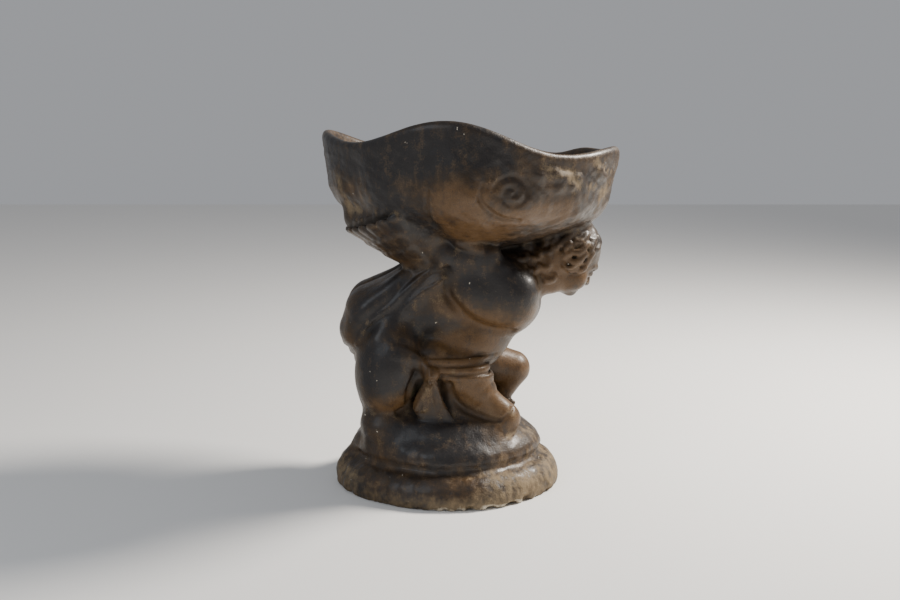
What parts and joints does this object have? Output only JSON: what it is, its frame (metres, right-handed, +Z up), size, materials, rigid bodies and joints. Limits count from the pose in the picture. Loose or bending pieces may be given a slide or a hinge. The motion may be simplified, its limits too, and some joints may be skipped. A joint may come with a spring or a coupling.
{
  "type": "cherub garden statue",
  "caption": "Kneeling winged cherub cast with its round base, bent forward under a wide wavy shell bowl that it carries on its back.",
  "frame": {"origin": "middle of the base, on the ground it stands on", "axes": "+Z up; +X the way the cherub faces, along the bowl's length; +Y towards its left side, the side of the raised knee"},
  "size_m": [0.3799, 0.3428, 0.4757],
  "materials": {
    "glazed_brown": "gloss"
  },
  "bodies": {
    "root": {"cherub_statue": "glazed_brown"}
  },
  "joints": []
}
